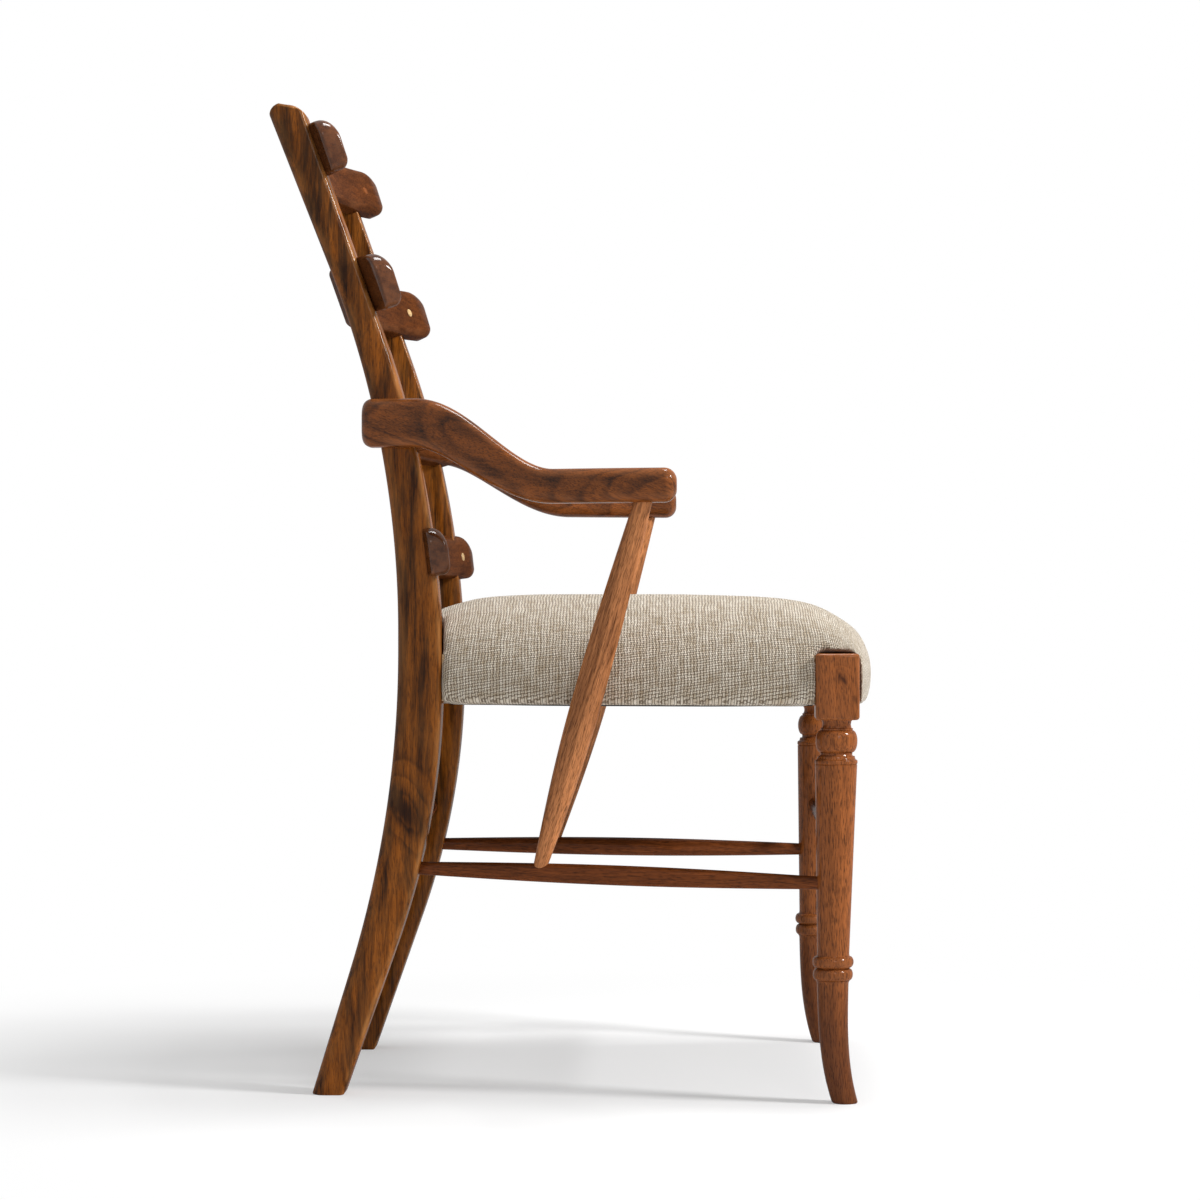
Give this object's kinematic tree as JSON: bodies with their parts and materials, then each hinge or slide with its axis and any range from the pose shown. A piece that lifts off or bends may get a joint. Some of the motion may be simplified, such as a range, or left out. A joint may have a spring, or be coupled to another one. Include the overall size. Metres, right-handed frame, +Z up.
{
  "type": "ladder back armchair",
  "caption": "Wooden dining armchair with a raked ladder back of bowed slats, sawn S-curved arms on turned supports, turned front legs and a padded cloth seat.",
  "frame": {"origin": "on the floor, under the middle of the chair's box", "axes": "+Z up, the sitter faces -Y and the sitter's left is +X"},
  "size_m": [0.6796, 0.645, 1.05],
  "materials": {
    "frame_wood": "satin",
    "slat_wood": "satin",
    "rail_wood": "matte",
    "peg_wood": "satin",
    "screw_steel": "satin",
    "seat_cloth": "matte",
    "seat_filling": "matte",
    "webbing": "matte",
    "dust_cloth": "matte"
  },
  "bodies": {
    "root": {"arm_dowels": "peg_wood", "back_seat_rail": "rail_wood", "back_stretcher": "frame_wood", "corner_block_screws": "screw_steel", "crosswise_webbing": "webbing", "dust_cover": "dust_cloth", "front_seat_rail": "rail_wood", "front_stretcher": "frame_wood", "left_arm": "slat_wood", "left_arm_support": "frame_wood", "left_back_post": "frame_wood", "left_front_corner_block": "rail_wood", "left_front_leg": "frame_wood", "left_rear_corner_block": "rail_wood", "left_seat_rail": "rail_wood", "left_side_stretcher": "frame_wood", "lengthwise_webbing": "webbing", "lumbar_slat": "slat_wood", "middle_slat": "slat_wood", "right_arm": "slat_wood", "right_arm_support": "frame_wood", "right_back_post": "frame_wood", "right_front_corner_block": "rail_wood", "right_front_leg": "frame_wood", "right_rear_corner_block": "rail_wood", "right_seat_rail": "rail_wood", "right_side_stretcher": "frame_wood", "seat_cover": "seat_cloth", "seat_foam": "seat_filling", "slat_pegs": "peg_wood", "top_slat": "slat_wood", "upper_slat": "slat_wood"}
  },
  "joints": []
}
